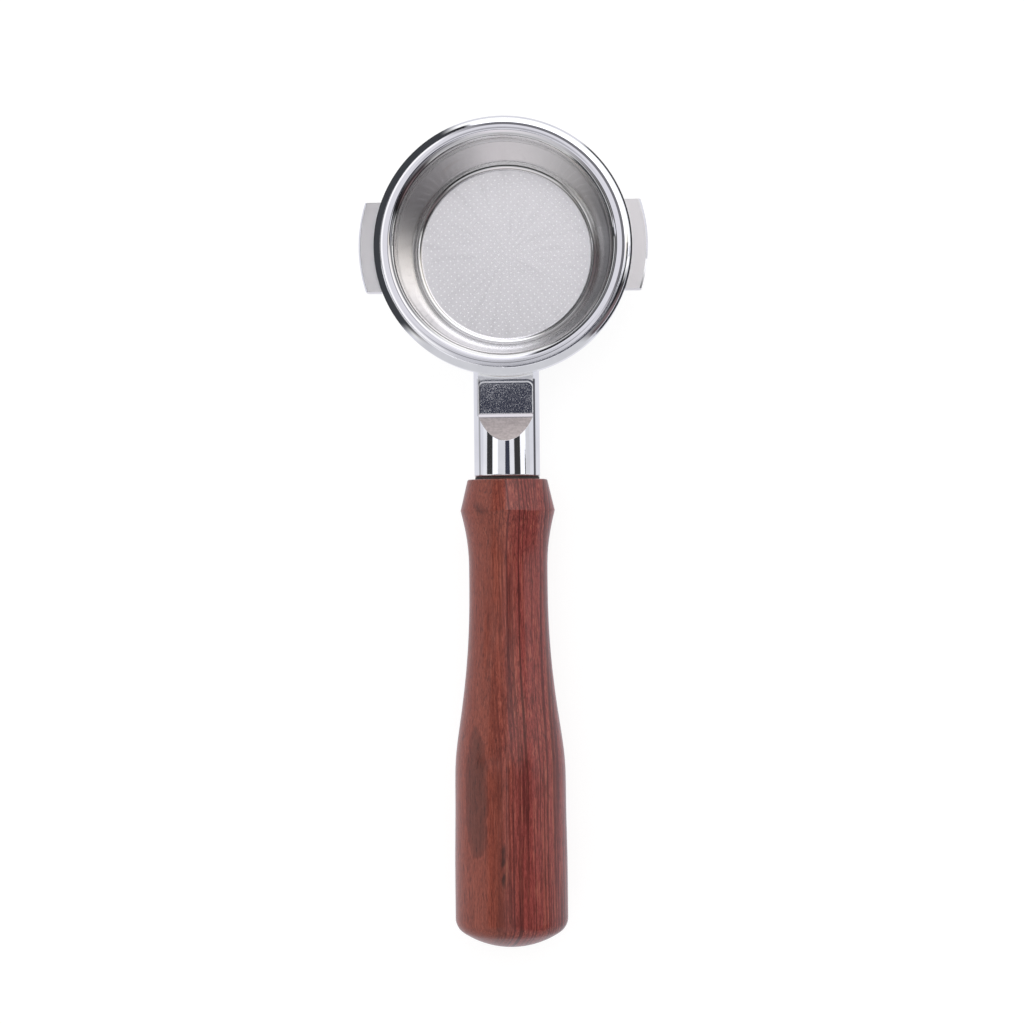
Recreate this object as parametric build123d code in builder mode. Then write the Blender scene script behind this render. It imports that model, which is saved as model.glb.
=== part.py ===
"""Bottomless 58 mm portafilter: cast holder, pressed basket, wire spring and a turned wooden handle.

Frame: +Z up towards the group head, the handle runs out along -Y, +X to the right.
Z = 0 is the top of the two bayonet lugs and the Z axis is the axis of the ring.
"""

from build123d import *
from math import cos, radians, sin, sqrt
import os

os.makedirs("parts", exist_ok=True)

# ---------------------------------------------------------------- driving dimensions, mm
# Ring of the holder: straight at the lugs, then drawn in a little towards the foot.
ring_r = 35.5
ring_foot_r = 33.3
ring_band_bottom = -5.0
ring_top = 3.0
ring_bottom = -28.75
ring_edge_round = 2.0
ring_foot_round = 1.0
bore_r = 30.5
bore_lead_in = 1.4
bore_foot_chamfer = 0.8

# Bayonet lugs, one each side, with ends cut straight across.
lug_r = 39.8
lug_chord = 24.6
lug_height = 5.6
lug_chamfer = 0.5

# Neck: a round bar with a relief on top that clears the group head.
neck_r = 9.2
neck_z = -13.0
neck_end = 63.3
neck_end_round = 0.6
neck_root_round = 0.8
relief_height = 5.1
relief_ramp_start = 46.4
relief_ramp_end = 53.4
relief_round = 2.5

# M12 thread, drawn at its major diameter.
stud_r = 6.0
thread_gap = 0.05
stud_in_neck = 12.0
stud_in_handle = 20.0
stud_chamfer = 0.9
tapped_depth = 12.6
drill_point = 3.0

# Filter basket, one pressed sheet.
sheet = 0.8
seat_gap = 0.05
flange_r = 33.4
flange_edge_round = 0.3
basket_r = 29.5
basket_depth = 25.5
mouth_round = 2.0
ridge_depth = 7.0
ridge_r = 29.1
ridge_half_land = 0.4
ridge_half_width = 1.3
ridge_root_round = 0.8
ridge_crest_round = 0.5
below_ridge_r = 29.3
floor_corner_r = 25.45
floor_round = 2.1

# Basket spring, a wire ring with a gap, in a groove inside the ring.
wire_r = 0.65
spring_r = 30.65
spring_gap_angle = 28.0
groove_r = 31.7
groove_half_width = 0.8

# Neck washer.
washer_r = 9.0
washer_bore_r = 6.3
washer_thickness = 0.6
face_gap = 0.05

# Wooden grip: distance out from the ring's axis, and radius.
grip_face = 64.0
grip_face_r = 11.15
grip_face_round = 0.6
collar_out = 72.7
collar_r = 13.2
collar_round = 0.5
throat_out = 83.0
throat_r = 11.25
throat_slope = -0.26
waist_out = 95.0
waist_r = 11.0
rise_out = 114.5
rise_r = 11.82
swell_out = 131.3
swell_r = 13.85
shoulder_out = 142.0
shoulder_r = 15.25
palm_out = 153.7
palm_r = 15.5
belly_out = 175.0
belly_r = 15.75
grip_corner_out = 188.8
grip_end = 194.5
grip_corner_round = 4.5
dome_r = 7.45
dome_sag = 1.16

# Brass insert bonded in the grip.
insert_r = 8.0
insert_length = 25.0
insert_recess = 0.6
insert_groove_depth = 0.7
insert_groove_width = 2.0
insert_groove_pitch = 6.0
insert_groove_count = 3
bond_gap = 0.03
bore_bottom_gap = 0.5

# How far a cutting profile runs past the surface that it cuts.
cut_margin = 1.0

# ---------------------------------------------------------------- worked-out places
flange_top = ring_top + seat_gap + sheet
basket_floor = flange_top - basket_depth
ridge_z = flange_top - ridge_depth
washer_near = neck_end + face_gap
stud_near = neck_end - stud_in_neck
stud_far = grip_face + stud_in_handle
insert_near = grip_face + insert_recess
insert_first_groove = insert_near + insert_groove_pitch - insert_groove_width

# Looking along the handle: local x is the distance out from the ring's axis, local y is up.
along_handle = Plane(origin=(0, 0, neck_z), x_dir=(0, -1, 0), z_dir=(-1, 0, 0))
handle_axis = Axis((0, 0, neck_z), (0, -1, 0))

# The wire's first end: its gap is centred on +Y, opposite the handle.
spring_start = radians(90 + spring_gap_angle / 2)
outward = (cos(spring_start), sin(spring_start), 0)
along_wire = (-sin(spring_start), cos(spring_start), 0)
spring_end_centre = (spring_r * cos(spring_start), spring_r * sin(spring_start), ridge_z)
spring_end = Plane(origin=spring_end_centre, x_dir=outward, z_dir=along_wire)


def across_handle(out):
    """Plane square to the handle, `out` from the ring's axis, facing away from the ring."""
    return Plane(origin=(0, -out, neck_z), x_dir=(-1, 0, 0), z_dir=(0, -1, 0))


def round_edges(candidates, radius):
    """Full or part circles of one radius."""
    circles = candidates.filter_by(GeomType.CIRCLE)
    return circles.filter_by(lambda edge: abs(edge.radius - radius) < 0.01)


def wall_r(height):
    """Radius of the ring's outer wall at a height."""
    share = (height - ring_bottom) / (ring_band_bottom - ring_bottom)
    return ring_foot_r + (ring_r - ring_foot_r) * min(share, 1)


def is_neck_root(edge):
    """True for an edge that lies on the ring's outer wall, away from its two rims."""
    for share in (0.1, 0.5, 0.9):
        point = edge.position_at(share)
        if abs(sqrt(point.X**2 + point.Y**2) - wall_r(point.Z)) > 0.01:
            return False
        if not ring_bottom + cut_margin < point.Z < ring_band_bottom - 0.1:
            return False
    return True


# ---------------------------------------------------------------- holder casting
with BuildPart() as holder_body:
    # Neck bar, from the ring's axis to its faced end.
    with BuildSketch(across_handle(0)):
        Circle(neck_r)
    extrude(amount=neck_end)
    fillet(edges().group_by(Axis.Y)[0], neck_end_round)

    # Relief: a flat next to the ring, then a ramp back up to the full bar.
    with BuildSketch(along_handle):
        with BuildLine():
            Polyline(
                (0, neck_r + cut_margin),
                (0, relief_height),
                (relief_ramp_start, relief_height),
                (relief_ramp_end, neck_r),
                (relief_ramp_end, neck_r + cut_margin),
                close=True,
            )
        make_face()
        relief_corner = vertices().sort_by_distance((relief_ramp_start, relief_height))[0]
        fillet(relief_corner, relief_round)
    extrude(amount=neck_r + cut_margin, both=True, mode=Mode.SUBTRACT)

    # Ring blank, joined to the neck with a small root round.
    with BuildSketch(Plane.XZ):
        with BuildLine():
            Polyline(
                (0, ring_top),
                (0, ring_bottom),
                (ring_foot_r, ring_bottom),
                (ring_r, ring_band_bottom),
                (ring_r, ring_top),
                close=True,
            )
        make_face()
    revolve(axis=Axis.Z)
    fillet(edges().filter_by(is_neck_root), neck_root_round)
    fillet(faces().sort_by(Axis.Z)[-1].edges(), ring_edge_round)
    fillet(faces().sort_by(Axis.Z)[0].edges(), ring_foot_round)

    # Lugs: two arcs of one larger disc, with both ends cut parallel to X.
    with BuildSketch(Plane.XY.offset(-lug_height)):
        Circle(lug_r)
        Rectangle(2 * lug_r, lug_chord, mode=Mode.INTERSECT)
    extrude(amount=lug_height)
    chamfer(round_edges(edges(), lug_r), lug_chamfer)

    # Straight bore through the ring, with a rounded mouth and a chamfered foot.
    with BuildSketch(Plane.XY.offset(ring_top)):
        Circle(bore_r)
    extrude(amount=ring_bottom - ring_top, mode=Mode.SUBTRACT)
    fillet(round_edges(edges(), bore_r).sort_by(Axis.Z)[-1], bore_lead_in)
    chamfer(round_edges(edges(), bore_r).sort_by(Axis.Z)[0], bore_foot_chamfer)

    # Spring groove round the bore.
    with BuildSketch(Plane.XZ):
        with Locations((bore_r - cut_margin, ridge_z)):
            Rectangle(
                groove_r - bore_r + cut_margin,
                2 * groove_half_width,
                align=(Align.MIN, Align.CENTER),
            )
    revolve(axis=Axis.Z, mode=Mode.SUBTRACT)

    # Blind tapped hole in the end of the neck, with the drill's point at the bottom.
    with BuildSketch(along_handle):
        with BuildLine():
            Polyline(
                (neck_end, 0),
                (neck_end, stud_r + thread_gap),
                (neck_end - tapped_depth, stud_r + thread_gap),
                (neck_end - tapped_depth - drill_point, 0),
                close=True,
            )
        make_face()
    revolve(axis=handle_axis, mode=Mode.SUBTRACT)

holder_body.part.label = "holder_body"
export_step(holder_body.part, "parts/holder_body.step")

# ---------------------------------------------------------------- filter basket
with BuildPart() as filter_basket:
    with BuildSketch(Plane.XZ):
        with BuildLine():
            FilletPolyline(
                (flange_r, flange_top),
                (basket_r, flange_top),
                (basket_r, ridge_z + ridge_half_width),
                (ridge_r, ridge_z + ridge_half_land),
                (ridge_r, ridge_z - ridge_half_land),
                (below_ridge_r, ridge_z - ridge_half_width),
                (floor_corner_r, basket_floor),
                (0, basket_floor),
                radius=[mouth_round, ridge_root_round, ridge_crest_round]
                + [ridge_crest_round, ridge_root_round, floor_round],
            )
            offset(amount=sheet, side=Side.LEFT)
        make_face()
    revolve(axis=Axis.Z)
    fillet(round_edges(edges(), flange_r), flange_edge_round)

filter_basket.part.label = "filter_basket"
export_step(filter_basket.part, "parts/filter_basket.step")

# ---------------------------------------------------------------- basket spring
with BuildPart() as basket_spring:
    with BuildSketch(spring_end):
        Circle(wire_r)
    revolve(axis=Axis.Z, revolution_arc=360 - spring_gap_angle)

basket_spring.part.label = "basket_spring"
export_step(basket_spring.part, "parts/basket_spring.step")

# ---------------------------------------------------------------- neck washer
with BuildPart() as neck_washer:
    with BuildSketch(across_handle(washer_near)):
        Circle(washer_r)
        Circle(washer_bore_r, mode=Mode.SUBTRACT)
    extrude(amount=washer_thickness)

neck_washer.part.label = "neck_washer"
export_step(neck_washer.part, "parts/neck_washer.step")

# ---------------------------------------------------------------- threaded stud
with BuildPart() as handle_stud:
    with BuildSketch(across_handle(stud_near)):
        Circle(stud_r)
    extrude(amount=stud_far - stud_near)
    chamfer(edges().filter_by(GeomType.CIRCLE), stud_chamfer)

handle_stud.part.label = "handle_stud"
export_step(handle_stud.part, "parts/handle_stud.step")

# ---------------------------------------------------------------- brass insert
with BuildPart() as handle_insert:
    with BuildSketch(across_handle(insert_near)):
        Circle(insert_r)
        Circle(stud_r + bond_gap, mode=Mode.SUBTRACT)
    extrude(amount=insert_length)
    # Glue grooves round the outside.
    for index in range(insert_groove_count):
        with BuildSketch(across_handle(insert_first_groove + insert_groove_pitch * index)):
            Circle(insert_r)
            Circle(insert_r - insert_groove_depth, mode=Mode.SUBTRACT)
        extrude(amount=insert_groove_width, mode=Mode.SUBTRACT)

handle_insert.part.label = "handle_insert"
export_step(handle_insert.part, "parts/handle_insert.step")

# ---------------------------------------------------------------- turned grip
with BuildPart() as handle_grip:
    with BuildSketch(along_handle):
        with BuildLine():
            face_line = Line((grip_face, 0), (grip_face, grip_face_r))
            cone_line = Line(face_line @ 1, (collar_out, collar_r))
            throat = Spline(
                cone_line @ 1,
                (throat_out, throat_r),
                (waist_out, waist_r),
                tangents=[(1, throat_slope), (1, 0)],
            )
            swell = Spline(
                throat @ 1,
                (rise_out, rise_r),
                (swell_out, swell_r),
                (shoulder_out, shoulder_r),
                (palm_out, palm_r),
                (belly_out, belly_r),
                tangents=[(1, 0), (1, 0)],
            )
            side_line = Line(swell @ 1, (grip_corner_out, belly_r))
            end_arc = ThreePointArc(
                side_line @ 1,
                (grip_end - dome_sag, dome_r),
                (grip_end, 0),
            )
            Line(end_arc @ 1, face_line @ 0)
        make_face()
    revolve(axis=handle_axis)
    fillet(round_edges(edges(), grip_face_r), grip_face_round)
    fillet(round_edges(edges(), collar_r), collar_round)
    fillet(round_edges(edges(), belly_r).sort_by(handle_axis)[-1], grip_corner_round)

    # Flat-bottomed bore for the insert, open at the face.
    with BuildSketch(across_handle(grip_face)):
        Circle(insert_r + bond_gap)
    extrude(amount=insert_recess + insert_length + bore_bottom_gap, mode=Mode.SUBTRACT)

handle_grip.part.label = "handle_grip"
export_step(handle_grip.part, "parts/handle_grip.step")
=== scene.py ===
"""Looks of a bottomless 58 mm portafilter: polished holder, drawn basket, turned rosewood grip."""

import math

import bpy
from mathutils import Matrix, Vector
from mathutils.geometry import delaunay_2d_cdt


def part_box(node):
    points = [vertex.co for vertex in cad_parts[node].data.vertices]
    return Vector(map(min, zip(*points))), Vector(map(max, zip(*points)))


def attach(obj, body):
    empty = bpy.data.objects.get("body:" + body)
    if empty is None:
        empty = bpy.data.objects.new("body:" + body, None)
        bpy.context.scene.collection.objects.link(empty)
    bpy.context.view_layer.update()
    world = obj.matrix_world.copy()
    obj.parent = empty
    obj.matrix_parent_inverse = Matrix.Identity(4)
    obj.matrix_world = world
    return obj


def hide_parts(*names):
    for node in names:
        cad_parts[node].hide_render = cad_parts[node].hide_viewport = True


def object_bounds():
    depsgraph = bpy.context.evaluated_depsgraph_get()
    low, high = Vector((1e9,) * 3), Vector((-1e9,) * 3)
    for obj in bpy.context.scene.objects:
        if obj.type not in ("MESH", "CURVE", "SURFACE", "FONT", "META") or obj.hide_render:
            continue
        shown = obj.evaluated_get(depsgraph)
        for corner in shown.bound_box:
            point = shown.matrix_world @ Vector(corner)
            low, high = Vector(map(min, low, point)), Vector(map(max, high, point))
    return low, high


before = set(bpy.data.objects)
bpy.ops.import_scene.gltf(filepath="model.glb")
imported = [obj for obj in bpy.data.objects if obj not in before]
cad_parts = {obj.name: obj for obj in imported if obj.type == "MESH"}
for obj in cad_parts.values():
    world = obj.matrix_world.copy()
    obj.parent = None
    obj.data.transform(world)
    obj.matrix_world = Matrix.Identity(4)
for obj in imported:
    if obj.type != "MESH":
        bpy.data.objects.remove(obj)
cad_low, cad_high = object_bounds()
MM = 0.001

# ---------------------------------------------------------------- sizes shared with the CAD, mm
NECK_Z = -13.0
RING_R = 35.5
FLANGE_R = 33.4
FLANGE_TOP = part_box("filter_basket")[1].z / MM
BASKET_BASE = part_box("filter_basket")[0].z / MM
SHEET = 0.8
BASKET_FLOOR = BASKET_BASE + SHEET
BASKET_R = 29.5
RIDGE_Z = FLANGE_TOP - 7.0
RIDGE_HALF = 0.4
RIDGE_REACH = 1.3
RIDGE_R = 29.1
BELOW_RIDGE_R = 29.3
FLOOR_CORNER_R = 25.45
FLANGE_EDGE_ROUND = 0.12
FLANGE_EDGE_STEP = 22.0
MOUTH_ROUND = 2.25

# Rounds of the basket's wall from the mouth down to the floor, on each side of the sheet.
INNER_ROUNDS = [MOUTH_ROUND, 0.8, 0.5, 0.5, 0.8, 2.1]
OUTER_ROUNDS = [MOUTH_ROUND - SHEET, 1.6, 0.1, 0.1, 1.6, 2.9]
ROUND_STEP = 9.0

# Straight runs longer than LONG_RUN get a point RUN_SUPPORT from each end, so that flats shade
# flat. Points of a profile closer than SAME_PLACE are one.
LONG_RUN = 0.4
RUN_SUPPORT = 0.04
SAME_PLACE = 1e-4

# Heights on the basket's wall between which a painted zone fades in: a painted dark reflection, a
# painted highlight and painted shade in the corner.
DARK_REFLECTION_ABOVE = (-13.5, -9.5)
HIGHLIGHT_BELOW = (-11.0, -14.5)
CORNER_BELOW = (-19.0, -19.8)

# Tool lines round the basket's rim, painted dark as shade that is stronger on some sides: (side,
# radius, half width, share).
RIM_LINES = [
    ("far", 31.85, 0.22, 0.50), ("far", 30.30, 0.12, 0.25),
    ("left", 31.40, 0.12, 0.60), ("left", 30.50, 0.24, 0.90), ("left", 29.90, 0.12, 0.80),
    ("right", 31.25, 0.13, 0.92), ("right", 30.75, 0.18, 0.55),
    ("near", 32.40, 0.12, 0.60), ("near", 31.20, 0.20, 0.45),
]

# Perforated floor of the basket.
HOLE_PITCH = 1.5
HOLE_R = 0.19
HOLE_SIDES = 8
HOLES_WITHIN = 23.1
PLATE_R = 23.7
LATTICE_TURN = 47.4
LATHE_STEPS = 192
PLATE_TOLERANCE = 1e-7

# Thread of the stud, M12.
THREAD_PITCH = 1.75
THREAD_MAJOR = 6.0
THREAD_MINOR = 5.05
THREAD_ROWS_PER_PITCH = 12
THREAD_STEPS = 48
THREAD_CHAMFER = 0.9
THREAD_CREASE = 50.0

# Share of a pitch that one flank spans, and the share of a flank cut off at the root and the crest.
THREAD_FLANK = 0.36
THREAD_FLAT = 0.12

# Width of the worn round along the holder's sharp edges.
EDGE_SOFTENING = 0.16

# Places on the holder: the lugs, the flat milled on the neck, the ramp that ends it, the neck.
LUG_TOP = 0.0
LUGS_BEGIN = -16.0
FLAT_BEGINS = -34.0
FLAT_BELOW = -6.0
RAMP_FAR = -46.0
RAMP_NEAR = -54.0
NECK_BEGINS = -36.2
NECK_END = -63.3

# Frame left round the flat by polishing. Its line and its clear band are distances from the
# centres of its round corners.
FRAME_HALF_WIDTH = 7.6
FRAME_CORNER = 1.7
FRAME_TOP = -36.95
FRAME_LINE = (1.48, 1.86)
FRAME_CLEAR = (1.14, 2.38)

# Painted dark reflection along both edges of the flat.
EDGE_LINE = (7.80, 8.02)

# Painted dark reflections along both sides of the neck: (from x, to x, tint).
BAR_REFLECTIONS = [(-7.60, -7.08, (0.45, 0.45, 0.45, 1.0)), (7.60, 8.14, (0.09, 0.09, 0.10, 1.0))]

# Pith that the grip's growth layers run round, and how close the layers lie, in lumps per mm.
PITH_X = 64.0
PITH_Z = -26.0
BROAD_LAYERS = 0.22
LINE_LAYERS = 0.52
CLOSE_LAYERS = 1.65

# Marks in the wood: (centre, half sizes).
FLAME = ((-9.0, -151.0, 2.0), (3.2, 19.5, 9.0))
FLAME_RIM = ((-9.0, -151.0, 2.0), (3.6, 20.5, 10.0))
BARK_FAR = ((-1.6, -168.0, 2.6), (0.75, 4.2, 2.0))
BARK_NEAR = ((-1.4, -175.2, 2.6), (0.9, 2.8, 2.0))
PALE_MARK = ((-0.6, -171.0, 2.8), (0.5, 7.0, 2.0))
KNOT = ((-7.4, -72.4, -3.0), (2.8, 3.0, 6.0))


# ---------------------------------------------------------------- shader building
class Graph:
    """A node tree with short ways to add and join nodes."""

    def __init__(self, tree):
        self.tree = tree
        tree.nodes.clear()

    def put(self, socket, value):
        if isinstance(value, bpy.types.NodeSocket):
            self.tree.links.new(value, socket)
        else:
            socket.default_value = value

    def node(self, kind, inputs=None, **settings):
        made = self.tree.nodes.new("ShaderNode" + kind)
        for key, value in settings.items():
            setattr(made, key, value)
        for key, value in (inputs or {}).items():
            self.put(made.inputs[key], value)
        return made

    def math(self, operation, a, b=0.0, c=0.0):
        made = self.node("Math", {0: a, 1: b, 2: c}, operation=operation)
        return made.outputs[0]

    def plus(self, first, *others):
        for other in others:
            first = self.math("ADD", first, other)
        return first

    def times(self, first, *others):
        for other in others:
            first = self.math("MULTIPLY", first, other)
        return first

    def minus(self, a, b):
        return self.math("SUBTRACT", a, b)

    def hypot(self, a, b):
        """Distance from an axis, by the two places across it."""
        return self.math("SQRT", self.plus(self.times(a, a), self.times(b, b)))

    def in_degrees(self, opposite, beside):
        return self.times(self.math("ARCTAN2", opposite, beside), 180.0 / math.pi)

    def vector(self, operation, a, b):
        made = self.node("VectorMath", {0: a, 1: b}, operation=operation)
        return made.outputs["Vector"]

    def length(self, a):
        return self.node("VectorMath", {0: a}, operation="LENGTH").outputs["Value"]

    def split(self, a):
        return self.node("SeparateXYZ", {0: a}).outputs

    def join(self, x, y, z):
        return self.node("CombineXYZ", {0: x, 1: y, 2: z}).outputs[0]

    def step(self, value, low, high):
        """0 before low, 1 past high, smooth between; low may be the larger of the two."""
        inputs = {"Value": value, "From Min": low, "From Max": high}
        made = self.node("MapRange", inputs, interpolation_type="SMOOTHSTEP")
        return made.outputs["Result"]

    def scale(self, value, low, high):
        """A 0 to 1 value spread over low to high."""
        return self.node("MapRange", {"Value": value, "To Min": low, "To Max": high}).outputs["Result"]

    def band(self, value, low, high, soft):
        """1 between low and high, with soft edges."""
        rise = self.step(value, low - soft, low + soft)
        fall = self.step(value, high + soft, high - soft)
        return self.times(rise, fall)

    def noise(self, where, scale, detail=3.0, rough=0.5):
        """Cloudy noise between 0 and 1; scale is in lumps per millimetre."""
        inputs = {"Vector": where, "Scale": scale, "Detail": detail, "Roughness": rough}
        return self.node("TexNoise", inputs).outputs["Fac"]

    def grain(self, where, lumps, detail, rough):
        """Noise with its own number of lumps per millimetre along each axis."""
        return self.noise(self.vector("MULTIPLY", where, lumps), 1.0, detail, rough)

    def lines(self, x, y, z, detail, rough):
        """Noise whose place is built from three values, such as lines round an axis."""
        return self.noise(self.join(x, y, z), 1.0, detail, rough)

    def ramp(self, value, stops):
        made = self.node("ValToRGB", {"Fac": value})
        elements = made.color_ramp.elements
        while len(elements) < len(stops):
            elements.new(0.5)
        for element, (place, colour) in zip(elements, stops):
            element.position = place
            element.color = (*colour, 1.0)
        return made.outputs["Color"]

    def blend(self, share, a, b):
        """A plain value between a and b."""
        return self.node("Mix", {0: share, 2: a, 3: b}, data_type="FLOAT").outputs[0]

    def ring(self, angle, stops):
        """A colour by an angle from -180 to 180 degrees."""
        share = self.math("DIVIDE", self.plus(angle, 180.0), 360.0)
        return self.ramp(share, [((degrees + 180) / 360, colour) for degrees, colour in stops])

    def mix(self, share, a, b, blend="MIX"):
        """A colour between a and b."""
        made = self.node("Mix", {0: share, 6: a, 7: b}, data_type="RGBA", blend_type=blend)
        return made.outputs[2]

    def bump(self, height, strength, distance_mm, normal=None):
        inputs = {"Height": height, "Strength": strength, "Distance": distance_mm * MM}
        if normal is not None:
            inputs["Normal"] = normal
        return self.node("Bump", inputs).outputs["Normal"]

    def place_mm(self):
        """Place on the piece in millimetres, in the object's own frame."""
        where = self.node("TexCoord").outputs["Object"]
        return self.vector("MULTIPLY", where, (1 / MM, 1 / MM, 1 / MM))

    def facing(self):
        """Which way the surface faces, in the object's own frame."""
        return self.node("TexCoord").outputs["Normal"]

    def surface(self, inputs):
        shader = self.node("BsdfPrincipled", inputs)
        self.node("OutputMaterial", {"Surface": shader.outputs[0]})


def new_material(name):
    material = bpy.data.materials.new(name)
    material.use_nodes = True
    return material, Graph(material.node_tree)


def grey(value):
    return (value, value, value, 1.0)


def tint(red, green, blue):
    return (red, green, blue, 1.0)


# ---------------------------------------------------------------- materials
def polished_holder():
    """Chromed brass: mirror polish, machined lugs and relief ramp, fine polishing marks."""
    material, g = new_material("holder_polished")
    where = g.place_mm()
    x, y, z = g.split(where)
    _, ny, nz = g.split(g.facing())
    radius = g.hypot(x, y)
    width = g.math("ABSOLUTE", x)

    # Machined faces: the lugs' tops and sides but not their edges, the ramp and the flat.
    beside_ring = g.step(radius, RING_R + 0.02, RING_R + 0.12)
    by_lugs = g.times(beside_ring, g.step(y, LUGS_BEGIN, LUGS_BEGIN + 1.0))
    level = g.math("MAXIMUM", g.step(nz, 0.9, 0.98), g.step(nz, 0.3, 0.1))
    on_lug = g.times(by_lugs, level)
    lug_top = g.times(on_lug, g.step(z, LUG_TOP - 0.3, LUG_TOP - 0.05))
    ramp_faces = g.times(g.step(ny, 0.47, 0.5), g.step(nz, 0.8, 0.84))
    on_ramp = g.times(ramp_faces, g.band(y, RAMP_NEAR, RAMP_FAR, 0.2))
    flat_faces = g.times(g.step(nz, 0.985, 0.999), g.step(z, FLAT_BELOW, FLAT_BELOW - 1.0))
    on_flat = g.times(flat_faces, g.step(y, FLAT_BEGINS, FLAT_BEGINS - 1.0))

    # The flat sits in a faint frame with rounded corners, left where polishing stopped at the ring.
    inset_x = g.math("MAXIMUM", g.minus(width, FRAME_HALF_WIDTH - FRAME_CORNER), 0.0)
    inset_y = g.math("MAXIMUM", g.minus(y, FRAME_TOP - FRAME_CORNER), 0.0)
    inset = g.length(g.join(inset_x, inset_y, 0.0))
    before_ramp = g.step(y, RAMP_FAR - 0.6, RAMP_FAR - 0.2)
    far_end = g.step(y, FRAME_TOP - 2.45, FRAME_TOP - 1.65)
    frame_line = g.times(g.band(inset, *FRAME_LINE, 0.07), on_flat, before_ramp)
    frame_gap = g.times(g.band(inset, *FRAME_CLEAR, 0.07), far_end)
    root_band = g.times(g.step(inset, FRAME_CLEAR[1] - 0.02, FRAME_CLEAR[1] + 0.08), on_flat)
    along_flat = g.band(y, RAMP_FAR - 0.4, NECK_BEGINS + 0.2, 0.2)
    flat_edge_reflection = g.times(g.band(width, *EDGE_LINE, 0.08), along_flat, g.step(z, -9.6, -9.2))

    # Fine random scratches, a soft orange peel, and the marks of the lathe and the milling cutter.
    peel = g.noise(where, 1.3, 3.0, 0.6)
    grit = g.noise(where, 4.6, 2.0, 0.7)
    smear = g.noise(where, 0.12, 4.0, 0.6)
    scratches = g.grain(where, (6.0, 0.5, 6.0), 4.0, 0.7)
    cross = g.grain(where, (0.5, 5.0, 5.0), 4.0, 0.7)
    turning = g.lines(g.times(radius, 5.0), 0.0, 0.0, 2.0, 0.8)
    cutter = g.lines(0.0, g.times(y, 7.0), g.times(x, 0.25), 2.0, 0.8)

    patches = g.scale(g.step(g.noise(where, 0.28), 0.36, 0.64), 0.55, 1.0)
    pitted = g.times(g.step(grit, 0.53, 0.69), on_flat, g.minus(1.0, frame_gap), patches)
    end_round = g.step(y, NECK_END + 0.62, NECK_END + 0.50)
    polished_rough = g.plus(
        g.scale(smear, 0.012, 0.045),
        g.times(g.step(scratches, 0.56, 0.72), 0.03),
        g.times(pitted, 0.168),
        g.times(g.math("MAXIMUM", frame_line, root_band), 0.30),
        g.times(end_round, 0.32),
    )
    matt = g.math("MAXIMUM", on_lug, on_ramp)
    rough = g.blend(matt, polished_rough, g.scale(turning, 0.36, 0.5))

    steel = g.mix(g.step(smear, 0.35, 0.7), tint(0.86, 0.865, 0.885), tint(0.80, 0.805, 0.83))
    steel = g.mix(g.times(pitted, 0.3), steel, tint(1.0, 1.0, 1.0))
    # A painted dark reflection along both edges of the flat.
    steel = g.mix(g.times(flat_edge_reflection, 0.6), steel, tint(0.25, 0.25, 0.26))
    upper_half = g.step(z, NECK_Z - 0.5, NECK_Z + 1.0)
    on_bar = g.times(g.band(y, NECK_END + 0.3, NECK_BEGINS, 0.1), upper_half)
    # Painted dark reflections run along both sides of the neck's bar.
    for low, high, colour in BAR_REFLECTIONS:
        steel = g.mix(g.times(g.band(x, low, high, 0.09), on_bar), steel, colour)

    machined = g.mix(turning, tint(0.72, 0.705, 0.715), tint(0.86, 0.845, 0.855))
    # The left lug is painted paler than the right one: a painted highlight.
    left_lug_highlight = g.times(on_lug, g.step(x, 0.0, -1.0))
    machined = g.mix(left_lug_highlight, machined, tint(0.93, 0.92, 0.93))
    steel = g.mix(on_lug, steel, machined)

    # The ramp is browner, and the rounded hollow between it and the flat is darkened with painted
    # shade.
    cut = g.plus(g.times(g.step(cutter, 0.3, 0.7), 0.5), g.times(g.step(peel, 0.35, 0.65), 0.5))
    ramp_colour = g.mix(cut, tint(0.40, 0.355, 0.35), tint(0.60, 0.54, 0.53))
    steel = g.mix(on_ramp, steel, ramp_colour)
    hollow_shade = g.times(g.band(ny, 0.05, 0.46, 0.02), g.band(y, RAMP_FAR - 4.0, RAMP_FAR + 1.0, 0.3))
    hollow_shade = g.times(hollow_shade, g.step(width, EDGE_LINE[0] + 0.1, EDGE_LINE[0] - 0.1))
    steel = g.mix(hollow_shade, steel, tint(0.36, 0.345, 0.355))

    height = g.plus(
        g.times(peel, 0.12),
        g.times(g.plus(scratches, cross), 0.5, 0.08),
        g.times(grit, on_flat, 0.05),
        g.times(turning, lug_top, 4.0),
        g.times(cutter, on_ramp, 4.0),
    )
    softened = g.node("Bevel", {"Radius": EDGE_SOFTENING * MM}, samples=4).outputs["Normal"]
    normal = g.bump(height, 0.25, 0.03, softened)
    g.surface({"Base Color": steel, "Metallic": 1.0, "Roughness": rough, "Normal": normal})
    return material


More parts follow.
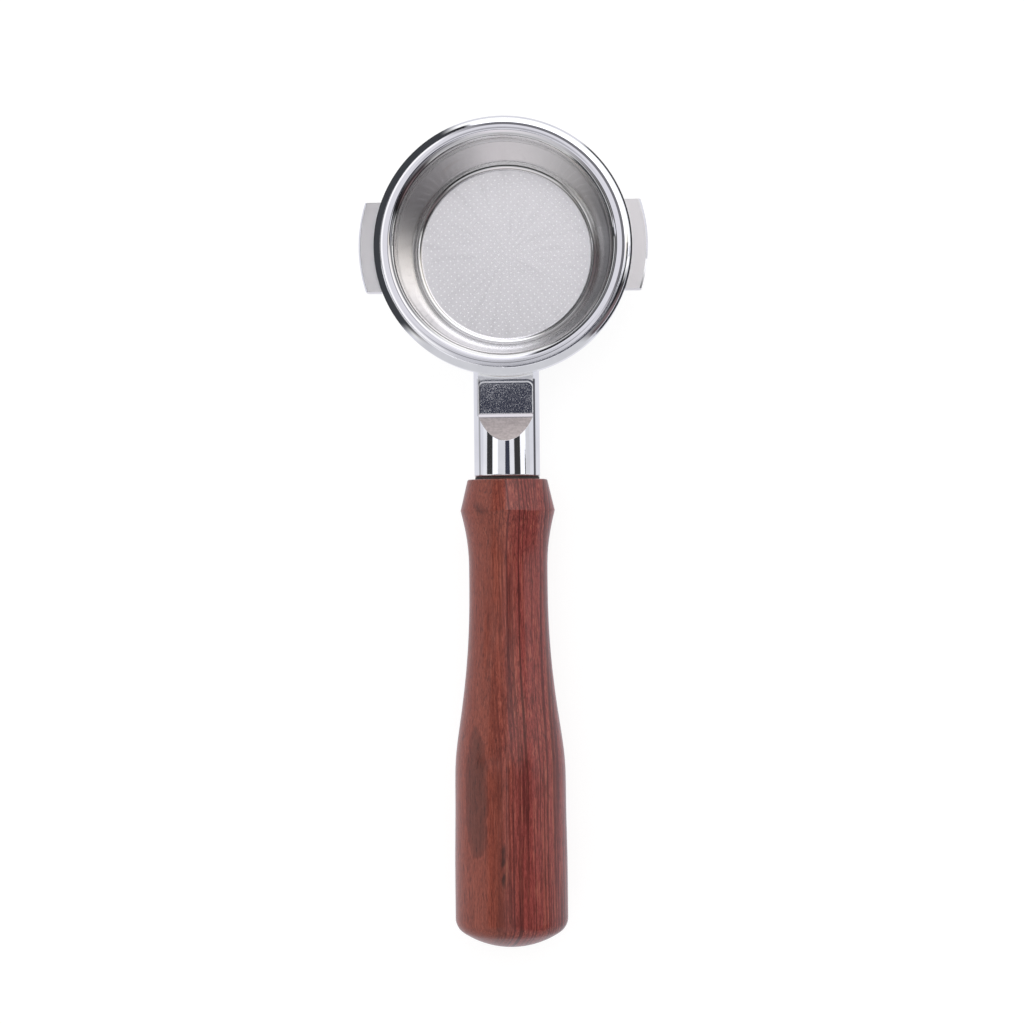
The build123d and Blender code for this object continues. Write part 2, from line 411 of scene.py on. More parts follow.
def drawn_basket():
    """Stainless sheet: drawing lines round the wall, an etched floor with a faint star."""
    material, g = new_material("basket_drawn_steel")
    where = g.place_mm()
    x, y, z = g.split(where)
    radius = g.hypot(x, y)
    around = g.math("ARCTAN2", y, x)
    turn = g.math("ABSOLUTE", around)
    on_floor = g.step(radius, PLATE_R + 1.2, PLATE_R - 0.2)
    on_flange = g.step(radius, BASKET_R + 0.7, BASKET_R + 1.3)
    on_flange = g.times(on_flange, g.step(z, FLANGE_TOP - 0.9, FLANGE_TOP - 0.6))
    at_mouth = g.step(z, RIDGE_Z + 0.8, RIDGE_Z + 2.0)
    near_rim = g.step(z, FLANGE_TOP - 2.0, FLANGE_TOP - 1.0)
    low_down = g.step(z, *CORNER_BELOW)

    # Lines left by the die run round the wall and fade in and out; the floor has turned rings.
    fade = g.noise(where, 0.16, 3.0, 0.6)
    speck = g.noise(where, 5.0, 2.0, 0.6)
    lines = g.lines(g.times(around, 0.6), g.times(z, 7.0), radius, 3.0, 0.75)
    fine = g.lines(g.times(around, 2.0), g.times(z, 26.0), 0.0, 2.0, 0.8)
    rings = g.lines(g.times(radius, 2.4), 0.0, 0.0, 3.0, 0.7)
    star = g.lines(g.times(around, 7.0), g.times(radius, 0.06), 3.0, 3.0, 0.6)

    wall_rough = g.plus(g.scale(fade, 0.06, 0.13), g.times(lines, 0.05))
    floor_rough = g.plus(g.scale(speck, 0.22, 0.30), g.times(rings, 0.05))
    rough = g.blend(on_floor, wall_rough, floor_rough)
    rough = g.blend(at_mouth, rough, 0.045)

    etched = g.mix(rings, tint(0.77, 0.76, 0.77), tint(0.87, 0.86, 0.87))
    etched = g.mix(g.times(g.step(star, 0.45, 0.75), 0.35), etched, tint(0.64, 0.63, 0.64))
    etched = g.mix(g.times(g.step(speck, 0.6, 0.75), 0.4), etched, tint(0.97, 0.97, 0.97))

    # The near side of the wall has a painted dark reflection half way up and a painted highlight low
    # down.
    wall = g.mix(lines, tint(0.72, 0.715, 0.715), tint(0.86, 0.855, 0.855))
    wall = g.mix(g.times(g.step(fade, 0.55, 0.8), 0.5), wall, tint(0.66, 0.61, 0.57))
    near_dark_reflection = g.times(g.step(z, *DARK_REFLECTION_ABOVE), g.band(around, -2.6, 0.5, 0.25), g.minus(1.0, at_mouth))
    wall = g.mix(g.times(near_dark_reflection, 0.9), wall, tint(0.30, 0.30, 0.31))
    bright = g.times(g.step(z, *HIGHLIGHT_BELOW), g.band(around, -2.3, -1.25, 0.2))
    wall = g.mix(bright, wall, tint(0.98, 0.98, 1.0))
    steel = g.mix(on_floor, wall, etched)

    # Painted shade darkens the corner round the floor, and a dark line of painted shade follows the
    # corner on the far side.
    # Painted shade in the corner round the floor.
    corner = g.times(g.band(radius, PLATE_R + 0.45, PLATE_R + 0.75, 0.12), low_down)
    steel = g.mix(g.times(corner, 0.6), steel, tint(0.05, 0.05, 0.05))
    far_arc_shade = g.band(radius, FLOOR_CORNER_R - 0.47, FLOOR_CORNER_R - 0.05, 0.10)
    far_arc_shade = g.times(far_arc_shade, low_down, g.band(around, 0.75, 2.5, 0.35))
    steel = g.mix(g.times(far_arc_shade, 0.97), steel, tint(0.03, 0.03, 0.03))

    # The flange is darker, with a painted highlight on a land on the left and a painted shadow along a
    # seam on the far right.
    steel = g.mix(on_flange, steel, tint(0.68, 0.68, 0.71))
    outer_land_highlight = g.times(g.band(radius, FLANGE_R - 0.62, FLANGE_R, 0.06), g.step(turn, 1.9, 2.2))
    steel = g.mix(g.times(outer_land_highlight, on_flange), steel, tint(0.97, 0.97, 0.97))
    seam_shadow = g.times(g.step(radius, FLANGE_R - 0.78, FLANGE_R - 0.64), near_rim)
    seam_shadow = g.times(seam_shadow, g.band(around, -0.55, 1.9, 0.25))
    steel = g.mix(g.times(seam_shadow, 0.9), steel, tint(0.10, 0.10, 0.11))

    # Tool lines round the rim, drawn as dark lines of painted shade that is stronger on some sides
    # than others.
    sides = {
        "far": g.band(around, 0.80, 2.30, 0.35),
        "near": g.band(around, -2.30, -0.80, 0.35),
        "left": g.step(turn, 1.95, 2.65),
        "right": g.step(turn, 1.15, 0.45),
    }
    for side, line_r, half, share in RIM_LINES:
        line = g.times(g.band(radius, line_r - half, line_r + half, 0.06), near_rim)
        line = g.times(line, g.times(sides[side], share))
        steel = g.mix(line, steel, tint(0.12, 0.12, 0.13))

    # The mouth is smoother than the wall but for long lathe marks, which stop short of the rim.
    wall_height = g.plus(g.times(lines, 0.7), g.times(fine, 0.3))
    wall_height = g.times(wall_height, g.scale(at_mouth, 1.0, 0.12))
    turned = g.lines(g.times(radius, 2.6), g.times(z, 1.6), g.times(around, 0.5), 1.0, 0.5)
    turned = g.times(turned, g.minus(at_mouth, g.step(radius, BASKET_R + 1.7, BASKET_R + 2.2)))
    wall_height = g.plus(wall_height, g.times(turned, 6.0))
    floor_height = g.plus(g.times(rings, 0.5), g.times(speck, 0.5))
    normal = g.bump(g.blend(on_floor, wall_height, floor_height), 0.3, 0.04)
    g.surface({"Base Color": steel, "Metallic": 1.0, "Roughness": rough, "Normal": normal})
    return material


def spot(g, where, centre, radii, low, high):
    """A soft-edged ellipsoid mask: 1 inside, 0 outside."""
    offset = g.vector("SUBTRACT", where, centre)
    scaled = g.vector("DIVIDE", offset, radii)
    return g.step(g.length(scaled), high, low)


def rosewood():
    """Lacquered rosewood cut far from the pith: plain on one side, close dark lines on the other."""
    material, g = new_material("grip_rosewood")
    where = g.place_mm()
    x, y, z = g.split(where)

    # Growth layers run round a pith far off to the right and low, and wander along the handle.
    wander = g.lines(0.0, g.times(y, 0.012), 4.0, 1.0, 0.5)
    ripple = g.grain(where, (0.10, 0.014, 0.10), 2.0, 0.5)
    across = g.minus(x, g.plus(PITH_X, g.times(wander, 3.0)))
    up = g.minus(z, g.plus(PITH_Z, g.times(wander, 2.0)))
    layer = g.plus(g.hypot(across, up), g.times(ripple, 1.4))
    along = g.times(y, 0.004)
    broad = g.lines(g.times(layer, BROAD_LAYERS), along, 0.0, 2.0, 0.5)
    lines = g.lines(g.times(layer, LINE_LAYERS), along, 7.0, 1.0, 0.5)
    close = g.lines(g.times(layer, CLOSE_LAYERS), g.times(y, 0.012), 3.0, 1.0, 0.5)

    # Fibres and vessels: pale and dark streaks and short dashes along the grain.
    streak = g.grain(where, (2.0, 0.10, 2.0), 2.0, 0.6)
    fibre = g.step(g.grain(where, (5.0, 0.8, 5.0), 3.0, 0.75), 0.3, 0.7)
    pores = g.step(g.grain(where, (3.2, 0.30, 3.2), 2.0, 0.6), 0.56, 0.66)
    blotch = g.grain(where, (0.12, 0.05, 0.12), 3.0, 0.6)

    orange = g.mix(fibre, tint(0.165, 0.034, 0.021), tint(0.265, 0.064, 0.041))
    red = g.mix(fibre, tint(0.175, 0.031, 0.027), tint(0.300, 0.066, 0.056))
    side = g.step(g.plus(x, g.times(blotch, 8.0)), 0.0, 9.0)
    wood = g.mix(side, orange, red)

    # What lies over the ground colour: (where it shows, share on the left, share on the right, tint).
    grained = g.step(x, -8.0, 2.0)
    overlays = [
        (g.step(broad, 0.52, 0.68), 0.1, 0.4, tint(0.350, 0.095, 0.055)),
        (g.step(broad, 0.46, 0.30), 0.1, 0.12, tint(0.120, 0.026, 0.018)),
        (g.step(streak, 0.54, 0.68), 0.2, 0.55, tint(0.420, 0.125, 0.085)),
        (g.step(streak, 0.46, 0.34), 0.3, 0.6, tint(0.075, 0.016, 0.013)),
        (g.step(lines, 0.44, 0.36), 0.0, 0.45, tint(0.050, 0.012, 0.011)),
        (g.step(close, 0.49, 0.38), 0.0, 0.78, tint(0.070, 0.014, 0.013)),
    ]
    for shows, left, right, colour in overlays:
        wood = g.mix(g.times(shows, g.scale(grained, left, right)), wood, colour)
    wood = g.mix(g.times(pores, 0.6), wood, tint(0.050, 0.012, 0.010))

    # The dark flame on the belly, two small bark marks and the knot by the collar.
    cloud = g.node("TexNoise", {"Vector": where, "Scale": 0.18}).outputs["Color"]
    warp = g.vector("MULTIPLY", g.vector("SUBTRACT", cloud, (0.5, 0.5, 0.5)), (1.6, 12.0, 1.6))
    bent = g.vector("ADD", where, warp)
    flame = spot(g, bent, *FLAME, 0.72, 1.05)
    wood = g.mix(g.times(flame, 0.9), wood, tint(0.50, 0.56, 0.62), "MULTIPLY")
    rim = g.times(spot(g, bent, *FLAME_RIM, 0.92, 1.02), g.minus(1.0, flame))
    wood = g.mix(g.times(rim, 0.45), wood, tint(0.045, 0.010, 0.009))
    bark_far = spot(g, bent, *BARK_FAR, 0.3, 1.1)
    bark_near = spot(g, bent, *BARK_NEAR, 0.3, 1.1)
    bark = g.math("MAXIMUM", bark_far, bark_near)
    wood = g.mix(g.times(bark, 0.8), wood, tint(0.028, 0.010, 0.008))
    pale = spot(g, bent, *PALE_MARK, 0.1, 1.1)
    wood = g.mix(g.times(pale, 0.4), wood, tint(0.30, 0.10, 0.055))
    knot = spot(g, bent, *KNOT, 0.1, 1.1)
    wood = g.mix(g.times(knot, 0.8), wood, tint(0.42, 0.40, 0.50), "MULTIPLY")

    # Thin lacquer follows the fibres and open pores, and sags a little over them.
    height = g.minus(g.times(fibre, 0.35), g.times(pores, 0.8))
    sag = g.grain(where, (0.35, 0.12, 0.35), 2.0, 0.5)
    inputs = {
        "Base Color": wood,
        "Roughness": g.scale(g.noise(where, 0.5, 3.0, 0.7), 0.34, 0.5),
        "Normal": g.bump(height, 0.35, 0.05),
        "IOR": 1.5,
        "Specular IOR Level": 0.1,
        "Coat Weight": 0.55,
        "Coat Roughness": 0.17,
        "Coat IOR": 1.5,
        "Coat Normal": g.bump(sag, 0.3, 0.12),
    }
    g.surface(inputs)
    return material


def spring_wire():
    """Hard-drawn stainless wire with lengthwise draw marks."""
    material, g = new_material("spring_drawn_wire")
    x, y, z = g.split(g.place_mm())
    around = g.math("ARCTAN2", y, x)
    draw = g.lines(g.times(around, 1.5), g.times(z, 16.0), 0.0, 3.0, 0.7)
    steel = g.mix(draw, tint(0.52, 0.51, 0.50), tint(0.68, 0.67, 0.66))
    rough = g.scale(draw, 0.2, 0.34)
    normal = g.bump(draw, 0.3, 0.04)
    g.surface({"Base Color": steel, "Metallic": 1.0, "Roughness": rough, "Normal": normal})
    return material


def black_rubber():
    """Dark brown-black rubber with a dusty bloom."""
    material, g = new_material("washer_rubber_black")
    where = g.place_mm()
    bloom = g.noise(where, 0.6, 4.0, 0.6)
    grain = g.noise(where, 6.0, 2.0, 0.6)
    colour = g.mix(bloom, tint(0.016, 0.011, 0.010), tint(0.045, 0.032, 0.028))
    rough = g.scale(grain, 0.55, 0.75)
    normal = g.bump(grain, 0.4, 0.05)
    g.surface({"Base Color": colour, "Roughness": rough, "Normal": normal})
    return material


def thread_steel():
    """Zinc-plated steel, darker in the roots of the thread."""
    material, g = new_material("stud_zinc_steel")
    where = g.place_mm()
    x, y, z = g.split(where)
    from_axis = g.hypot(x, g.minus(z, NECK_Z))
    in_root = g.step(from_axis, THREAD_MAJOR - 0.3, THREAD_MINOR + 0.05)
    cloud = g.noise(where, 0.7, 3.0, 0.6)
    streak = g.lines(g.times(y, 6.0), from_axis, 0.0, 2.0, 0.7)
    steel = g.mix(cloud, tint(0.55, 0.56, 0.57), tint(0.70, 0.70, 0.69))
    steel = g.mix(g.times(in_root, 0.55), steel, tint(0.22, 0.20, 0.18))
    rough = g.scale(cloud, 0.22, 0.38)
    normal = g.bump(streak, 0.3, 0.04)
    g.surface({"Base Color": steel, "Metallic": 1.0, "Roughness": rough, "Normal": normal})
    return material


def turned_brass():
    """Turned brass, dulled where the glue sits."""
    material, g = new_material("insert_turned_brass")
    where = g.place_mm()
    y = g.split(where)["Y"]
    tool = g.lines(g.times(y, 9.0), 0.0, 0.0, 2.0, 0.8)
    stain = g.noise(where, 0.45, 4.0, 0.6)
    brass = g.mix(stain, tint(0.72, 0.50, 0.20), tint(0.58, 0.38, 0.15))
    rough = g.scale(tool, 0.2, 0.36)
    normal = g.bump(tool, 0.4, 0.05)
    g.surface({"Base Color": brass, "Metallic": 1.0, "Roughness": rough, "Normal": normal})
    return material


# ---------------------------------------------------------------- mesh building
def make_object(name, points_mm, faces, material, crease=35.0):
    """A mesh object from points in millimetres, smooth except across sharp creases."""
    mesh = bpy.data.meshes.new(name)
    mesh.from_pydata([Vector(point) * MM for point in points_mm], [], faces)
    mesh.validate()
    mesh.materials.append(material)
    mesh.polygons.foreach_set("use_smooth", [True] * len(mesh.polygons))
    mesh.set_sharp_from_angle(angle=math.radians(crease))
    made = bpy.data.objects.new(name, mesh)
    bpy.context.scene.collection.objects.link(made)
    return made


def with_supports(path):
    """The same path with a point close to each end of its long straight runs."""
    full = [path[0]]
    for before, after in zip(path, path[1:]):
        run = after - before
        if run.length > LONG_RUN:
            near = run.normalized() * RUN_SUPPORT
            full.append(before + near)
            full.append(after - near)
        full.append(after)
    return full


def rounded_path(corners, radii, step_degrees=ROUND_STEP):
    """Points along straight runs joined by arcs; radii are for the inner corners."""
    path = [Vector(corners[0])]
    for before, corner, after, radius in zip(corners, corners[1:], corners[2:], radii):
        here = Vector(corner)
        back = (Vector(before) - here).normalized()
        ahead = (Vector(after) - here).normalized()
        turn = math.pi - back.angle(ahead)
        reach = radius * math.tan(turn / 2)
        centre = here + (back + ahead).normalized() * (radius / math.cos(turn / 2))
        start = here + back * reach - centre
        end = here + ahead * reach - centre
        count = max(2, math.ceil(math.degrees(turn) / step_degrees))
        for index in range(count + 1):
            share = index / count
            arm = start * math.sin((1 - share) * turn) + end * math.sin(share * turn)
            path.append(centre + arm / math.sin(turn))
    path.append(Vector(corners[-1]))
    return path


def offset_corners(corners, distance):
    """The same polyline moved to its left by distance."""
    lines = []
    for start, end in zip(corners, corners[1:]):
        run = (Vector(end) - Vector(start)).normalized()
        side = Vector((-run.y, run.x)) * distance
        lines.append((Vector(start) + side, run))
    moved = [lines[0][0]]
    for (a, u), (b, v) in zip(lines, lines[1:]):
        cross = u.x * v.y - u.y * v.x
        gap = b - a
        moved.append(a + u * ((gap.x * v.y - gap.y * v.x) / cross))
    last_run = (Vector(corners[-1]) - Vector(corners[-2])).normalized()
    moved.append(Vector(corners[-1]) + Vector((-last_run.y, last_run.x)) * distance)
    return moved


def hole_centres():
    """Square lattice of holes, turned on the plate."""
    turn = math.radians(LATTICE_TURN)
    reach = math.ceil(HOLES_WITHIN / HOLE_PITCH)
    centres = []
    for row in range(-reach, reach + 1):
        for column in range(-reach, reach + 1):
            flat = Vector((column * HOLE_PITCH, row * HOLE_PITCH))
            if flat.length <= HOLES_WITHIN:
                across = flat.x * math.cos(turn) - flat.y * math.sin(turn)
                along = flat.x * math.sin(turn) + flat.y * math.cos(turn)
                centres.append((across, along))
    return centres


def circle_points(radius, steps, centre=(0.0, 0.0)):
    points = []
    for index in range(steps):
        angle = math.tau * index / steps
        points.append((centre[0] + radius * math.cos(angle), centre[1] + radius * math.sin(angle)))
    return points


def perforated_plate():
    """Points of the flat plate, its rim first and then every hole in turn, and its triangles."""
    flat = circle_points(PLATE_R, LATHE_STEPS)
    edges = [(index, (index + 1) % LATHE_STEPS) for index in range(LATHE_STEPS)]
    hole_of = [-1] * LATHE_STEPS
    for number, centre in enumerate(hole_centres()):
        first = len(flat)
        flat.extend(circle_points(HOLE_R, HOLE_SIDES, centre))
        for index in range(HOLE_SIDES):
            edges.append((first + index, first + (index + 1) % HOLE_SIDES))
            hole_of.append(number)
    result = delaunay_2d_cdt([Vector(point) for point in flat], edges, [], 0, PLATE_TOLERANCE)
    corners, triangles, origin = result[0], result[2], result[3]
    if len(corners) != len(flat):
        raise ValueError("the plate's outline changed")
    source = [ids[0] for ids in origin]
    kept = []
    for triangle in triangles:
        ids = [source[corner] for corner in triangle]
        holes = {hole_of[corner] for corner in ids}
        if holes == {-1} or len(holes) > 1:
            kept.append(ids)
    return flat, kept


def basket_piece(material):
    """The pressed basket: a turned wall with a rolled-over mouth and a floor of fine holes."""
    inner = [
        (FLANGE_R, FLANGE_TOP),
        (BASKET_R, FLANGE_TOP),
        (BASKET_R, RIDGE_Z + RIDGE_REACH),
        (RIDGE_R, RIDGE_Z + RIDGE_HALF),
        (RIDGE_R, RIDGE_Z - RIDGE_HALF),
        (BELOW_RIDGE_R, RIDGE_Z - RIDGE_REACH),
        (FLOOR_CORNER_R, BASKET_FLOOR),
        (PLATE_R, BASKET_FLOOR),
    ]
    outer = offset_corners(inner, SHEET)
    inside = rounded_path(inner, INNER_ROUNDS)
    outside = rounded_path(outer, OUTER_ROUNDS)
    small = FLANGE_EDGE_ROUND
    edge = [
        (FLANGE_R - small, FLANGE_TOP - SHEET),
        (FLANGE_R, FLANGE_TOP - SHEET),
        (FLANGE_R, FLANGE_TOP),
        (FLANGE_R - small, FLANGE_TOP),
    ]
    rolled = rounded_path(edge, [small, small], FLANGE_EDGE_STEP)
    profile = list(reversed(outside[1:])) + rolled[1:-1] + inside[1:]
    profile = [profile[0]] + [b for a, b in zip(profile, profile[1:]) if (b - a).length > SAME_PLACE]
    profile = with_supports(profile)

    flat, triangles = perforated_plate()
    count = len(flat)
    points = [(px, py, BASKET_FLOOR) for px, py in flat]
    points += [(px, py, BASKET_BASE) for px, py in flat]
    faces = [tuple(triangle) for triangle in triangles]
    faces += [tuple(corner + count for corner in reversed(triangle)) for triangle in triangles]
    for first in range(LATHE_STEPS, count, HOLE_SIDES):
        for index in range(HOLE_SIDES):
            a = first + index
            b = first + (index + 1) % HOLE_SIDES
            faces.append((a, b, b + count, a + count))

    # Wall rings run from the underside of the plate's rim, over the flange, to its top.
    rings = [list(range(count, count + LATHE_STEPS))]
    for radius, height in profile[1:-1]:
        first = len(points)
        points += [(px, py, height) for px, py in circle_points(radius, LATHE_STEPS)]
        rings.append(list(range(first, first + LATHE_STEPS)))
    rings.append(list(range(LATHE_STEPS)))
    for low, high in zip(rings, rings[1:]):
        for index in range(LATHE_STEPS):
            after = (index + 1) % LATHE_STEPS
            faces.append((low[index], low[after], high[after], high[index]))
    return make_object("basket_pressed", points, faces, material)


def thread_radius(turns):
    """Radius of the thread at a place measured in pitches."""
    share = turns % 1.0
    rise = min(share / THREAD_FLANK, (1.0 - share) / THREAD_FLANK, 1.0)
    lift = max(0.0, min(1.0, (rise - THREAD_FLAT) / (1.0 - 2 * THREAD_FLAT)))
    return THREAD_MINOR + (THREAD_MAJOR - THREAD_MINOR) * lift


def stud_piece(material):
    """The stud with its real helical thread and chamfered ends."""
    low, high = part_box("handle_stud")
    near = -high.y / MM
    far = -low.y / MM
    rows = math.ceil((far - near) / THREAD_PITCH * THREAD_ROWS_PER_PITCH)
    points = []
    for row in range(rows + 1):
        out = near + (far - near) * row / rows
        limit = THREAD_MAJOR - THREAD_CHAMFER + min(out - near, far - out)
        for index in range(THREAD_STEPS):
            angle = math.tau * index / THREAD_STEPS
            radius = min(limit, thread_radius(out / THREAD_PITCH + index / THREAD_STEPS))
            points.append((radius * math.cos(angle), -out, NECK_Z + radius * math.sin(angle)))
    faces = []
    for row in range(rows):
        for index in range(THREAD_STEPS):
            a = row * THREAD_STEPS + index
            b = row * THREAD_STEPS + (index + 1) % THREAD_STEPS
            faces.append((a, b, b + THREAD_STEPS, a + THREAD_STEPS))
    faces.append(tuple(reversed(range(THREAD_STEPS))))
    faces.append(tuple(range(rows * THREAD_STEPS, (rows + 1) * THREAD_STEPS)))
    return make_object("stud_threaded", points, faces, material, crease=THREAD_CREASE)


# ---------------------------------------------------------------- the object
def dress(node, material):
    """The CAD node keeps its shape and takes this material."""
    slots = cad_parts[node].data.materials
    slots.clear()
    slots.append(material)


basket = basket_piece(drawn_basket())
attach(basket, "basket")
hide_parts("filter_basket")

stud = stud_piece(thread_steel())
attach(stud, "handle")
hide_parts("handle_stud")

dress("holder_body", polished_holder())
dress("basket_spring", spring_wire())
dress("neck_washer", black_rubber())
dress("handle_insert", turned_brass())
dress("handle_grip", rosewood())


# ---------------------------------------------------------------- studio
FLOOR_HALF = 3.0
FLOOR_LEVEL = cad_low.z - 0.02 * MM
FLOOR_GREY = 0.20
FLOOR_GLOW = 0.86
FLOOR_IN_METAL = tint(0.80, 0.80, 0.86)

# Dark patch straight above: where its middle lies and its half sizes, in degrees from the top.
PATCH_RIGHT = 3.6
PATCH_NEAR = 2.7
PATCH_HALF_WIDTH = 8.2
PATCH_HALF_DEPTH = 6.36
PATCH_SQUARENESS = 8.0

# Curved flags round the ring: (name, radius, top, from degrees, to degrees, soft edge, tint).
FLAGS = [
    ("flag_left", 46.0, 38.0, 114.0, 220.0, 5.0, tint(0.056, 0.059, 0.066)),
    ("flag_right", 46.0, 0.3, -44.0, 50.0, 4.0, tint(0.040, 0.040, 0.046)),
    ("flag_handle", 47.0, 55.0, -133.0, -48.0, 5.0, tint(0.70, 0.70, 0.73)),
]
FLAG_FOOT = 0.15
FLAG_STEPS = 32

# Soft lamp high on the left, in metres and watts.
KEY_PLACE = (-0.30, 0.05, 0.85)
KEY_TARGET = (0.0, -0.08, 0.0)
KEY_SIZE = 0.7
KEY_POWER = 1.6
KEY_COLOUR = (1.0, 0.97, 0.94)


def studio_floor():
    """A plain pale sweep that glows a little, so that shadows stay light."""
    material, g = new_material("studio_floor")
    inputs = {
        "Base Color": grey(FLOOR_GREY),
        "Roughness": 0.9,
        "Specular IOR Level": 0.0,
        "Emission Color": grey(1.0),
        "Emission Strength": FLOOR_GLOW,
    }
    seen = g.node("BsdfPrincipled", inputs).outputs[0]

    # Polished metal picks up a cool white card instead.
    reflected = g.node("Emission", {"Color": FLOOR_IN_METAL, "Strength": 1.0}).outputs[0]
    in_metal = g.node("LightPath").outputs["Is Glossy Ray"]
    from_above = g.node("MixShader", {0: in_metal, 1: seen, 2: reflected}).outputs[0]
    below = g.node("NewGeometry").outputs["Backfacing"]
    clear = g.node("BsdfTransparent").outputs[0]
    mixed = g.node("MixShader", {0: below, 1: from_above, 2: clear})
    g.node("OutputMaterial", {"Surface": mixed.outputs[0]})

    corners = [(-1, -1), (1, -1), (1, 1), (-1, 1)]
    points = [(cx * FLOOR_HALF / MM, cy * FLOOR_HALF / MM, FLOOR_LEVEL / MM) for cx, cy in corners]
    floor = make_object("studio_floor", points, [(0, 1, 2, 3)], material)


def studio_world():
    """Soft boxes round the object as the polished metal sees them; plain white to the camera."""
    world = bpy.data.worlds.new("studio")
    bpy.context.scene.world = world
    world.use_nodes = True
    g = Graph(world.node_tree)
    x, y, z = g.split(g.node("TexCoord").outputs["Generated"])
    lean = g.in_degrees(x, z)
    pitch = g.in_degrees(y, z)
    heading = g.in_degrees(y, x)

    # Strips along the handle, by lean to the right in degrees: (from, to, brightness).
    white, pale, dim, black = 1.25, 0.80, 0.72, 0.045
    strips = [
        (-180, -101, 1.0), (-100, -74, 0.92), (-73, -51, black), (-50, -31, white), (-30, 11, pale),
        (12, 27, 0.9), (29, 50, black), (51, 71, white), (74, 104, dim), (107, 180, 1.0),
    ]
    strip_stops = []
    for start, end, value in strips:
        cool = (value, value, value * 1.05)
        strip_stops += [(start, cool), (end, cool)]
    strip_light = g.ring(lean, strip_stops)
    thin = g.times(g.band(lean, 68.0, 72.0, 0.8), g.step(y, 0.031, 0.024))
    strip_light = g.mix(thin, strip_light, tint(0.07, 0.075, 0.06))
    strip_zone = g.band(y, 0.006, 0.075, 0.006)

    # Half way up, by heading from -X through -Y, +X and +Y: (degrees, colour).
    dark = (0.02, 0.02, 0.025)
    middle = g.ring(heading, [
        (-180, (0.16, 0.155, 0.15)), (-163, (0.17, 0.165, 0.16)), (-150, (0.45, 0.44, 0.44)),
        (-132, (0.72, 0.71, 0.72)), (-106, (1.00, 0.97, 0.98)), (-90, (1.10, 1.04, 1.07)),
        (-74, (0.80, 0.78, 0.80)), (-62, (0.34, 0.33, 0.34)), (-36, (0.22, 0.21, 0.22)),
        (-20, dark), (9, dark), (15, (1.25, 1.18, 1.08)), (30, (1.50, 1.44, 1.37)),
        (60, (1.8, 1.77, 1.80)), (103, (2.2, 2.2, 2.32)), (108, dark), (130, (0.03, 0.03, 0.035)),
        (140, (0.14, 0.14, 0.15)), (152, (0.20, 0.20, 0.21)), (180, (0.16, 0.155, 0.15)),
    ])

    # Low down: white round the far side, light grey towards the handle, dark to the near right.
    low = g.ring(heading, [
        (-180, (1.0,) * 3), (-120, (0.80,) * 3), (-52, (0.74,) * 3), (-42, (0.12, 0.10, 0.11)),
        (-26, (0.24, 0.17, 0.18)), (-12, (0.05,) * 3), (-4, (1.2,) * 3), (90, (1.3,) * 3),
        (180, (1.0,) * 3),
    ])

    light = g.mix(g.step(z, 0.62, 0.72), low, middle)
    overhead = g.step(z, 0.955, 0.985)
    light = g.mix(overhead, light, tint(1.02, 1.01, 1.06))
    light = g.mix(strip_zone, light, strip_light)

    # The camera and whoever holds it: a dark patch with rounded corners straight above.
    aside = g.math("ABSOLUTE", g.math("DIVIDE", g.minus(lean, PATCH_RIGHT), PATCH_HALF_WIDTH))
    ahead = g.math("ABSOLUTE", g.math("DIVIDE", g.plus(pitch, PATCH_NEAR), PATCH_HALF_DEPTH))
    aside = g.math("POWER", aside, PATCH_SQUARENESS)
    ahead = g.math("POWER", ahead, PATCH_SQUARENESS)
    patch = g.step(g.plus(aside, ahead), 1.04, 0.92)
    light = g.mix(patch, light, tint(0.050, 0.053, 0.076))

    to_camera = g.node("LightPath").outputs["Is Camera Ray"]
    light = g.mix(to_camera, light, grey(1.0))
    background = g.node("Background", {"Color": light, "Strength": 1.0})
    g.node("OutputWorld", {"Surface": background.outputs[0]})


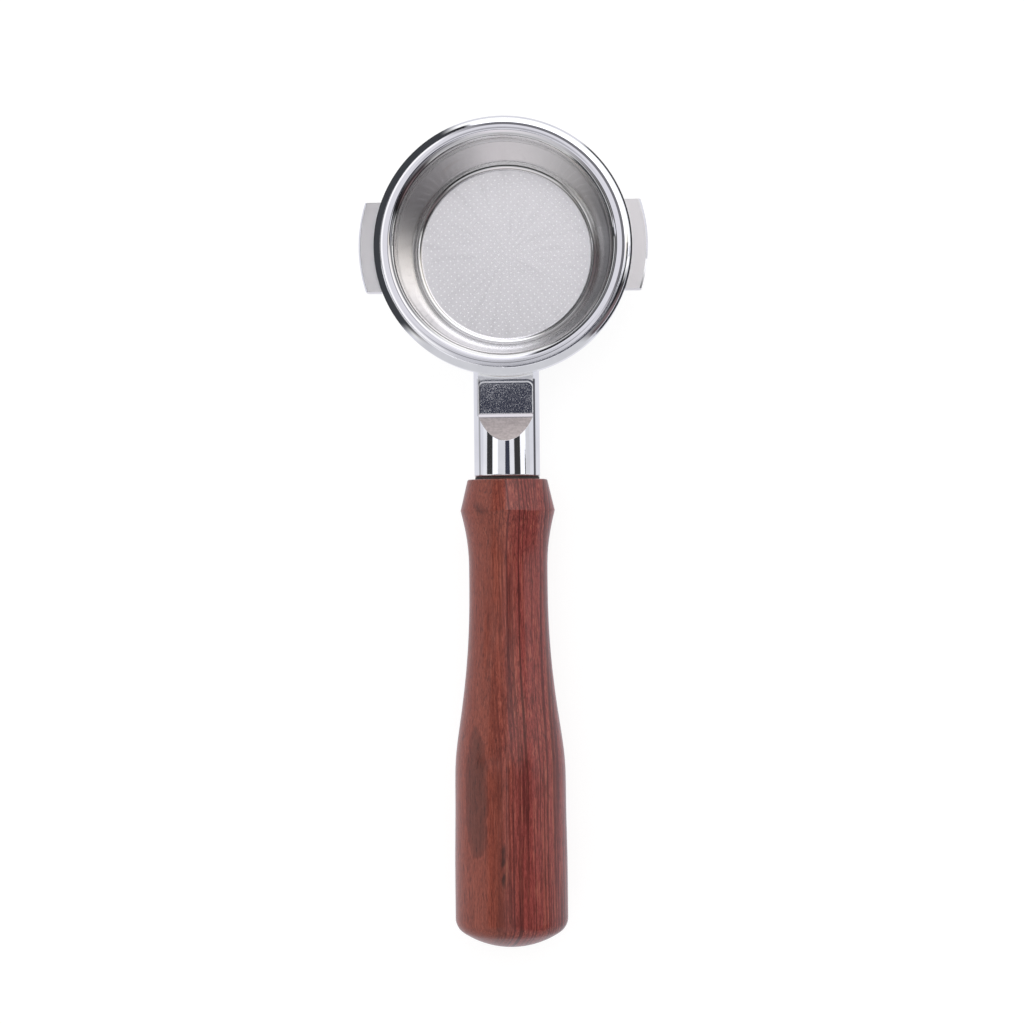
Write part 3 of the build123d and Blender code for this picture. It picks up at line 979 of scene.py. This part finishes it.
def ring_flag(name, radius, top, first, last, soft, colour):
    """A curved flag beside the ring that shows in reflections only; angles are measured from +X."""
    material, g = new_material(name)
    x, y, _ = g.split(g.place_mm())
    middle = math.radians((first + last) / 2)
    cos, sin = math.cos(middle), math.sin(middle)
    ahead = g.plus(g.times(x, cos), g.times(y, sin))
    aside = g.minus(g.times(y, cos), g.times(x, sin))
    half = (last - first) / 2
    share = g.band(g.in_degrees(aside, ahead), -half, half, soft)
    outside = g.node("NewGeometry").outputs["Backfacing"]
    share = g.times(share, g.minus(1.0, outside))
    glow = g.node("Emission", {"Color": colour, "Strength": 1.0}).outputs[0]
    clear = g.node("BsdfTransparent").outputs[0]
    mixed = g.node("MixShader", {0: share, 1: clear, 2: glow})
    g.node("OutputMaterial", {"Surface": mixed.outputs[0]})

    # A shelf from the ring's wall out to the flag's foot, and the flag's own wall.
    start, end = first - soft, last + soft
    points, faces = [], []
    for index in range(FLAG_STEPS + 1):
        turn = math.radians(start + (end - start) * index / FLAG_STEPS)
        for out, height in [(RING_R, FLAG_FOOT), (radius, FLAG_FOOT), (radius, top)]:
            points.append((out * math.cos(turn), out * math.sin(turn), height))
    for index in range(FLAG_STEPS):
        a = 3 * index
        faces.append((a, a + 1, a + 4, a + 3))
        faces.append((a + 1, a + 2, a + 5, a + 4))
    made = make_object(name, points, faces, material)
    made.visible_camera = False
    made.visible_diffuse = False
    made.visible_shadow = False
    made.visible_transmission = False


def key_light():
    """A large soft lamp that shapes the wood; polished metal doesn't show it."""
    data = bpy.data.lights.new("key", "AREA")
    data.shape = "DISK"
    data.size = KEY_SIZE
    data.energy = KEY_POWER
    data.color = KEY_COLOUR
    made = bpy.data.objects.new("key", data)
    made.location = KEY_PLACE
    made.rotation_mode = "QUATERNION"
    made.rotation_quaternion = (Vector(KEY_TARGET) - Vector(KEY_PLACE)).to_track_quat("-Z", "Y")
    made.visible_glossy = False
    bpy.context.scene.collection.objects.link(made)


studio_floor()
studio_world()
for flag in FLAGS:
    ring_flag(*flag)
key_light()

# ---------------------------------------------------------------- camera
CAMERA_PLACE = (28.9 * MM, -74.7 * MM, 640.0 * MM)
CAMERA_TURNS = (0.11, 2.43, -0.61)
CAMERA_LENS = 82.06
CAMERA_SENSOR = 36.0
CLIP_NEAR = 0.01
CLIP_FAR = 20.0

camera_data = bpy.data.cameras.new("camera")
camera_data.sensor_width = CAMERA_SENSOR
camera_data.lens = CAMERA_LENS
camera_data.clip_start = CLIP_NEAR
camera_data.clip_end = CLIP_FAR
camera = bpy.data.objects.new("camera", camera_data)
turn_x, turn_y, turn_z = (math.radians(turn) for turn in CAMERA_TURNS)
turned = Matrix.Rotation(turn_z, 4, "Z") @ Matrix.Rotation(turn_x, 4, "X")
turned = turned @ Matrix.Rotation(turn_y, 4, "Y")
camera.matrix_world = Matrix.Translation(CAMERA_PLACE) @ turned
bpy.context.scene.collection.objects.link(camera)
bpy.context.scene.camera = camera
bpy.context.scene.view_settings.view_transform = "Standard"
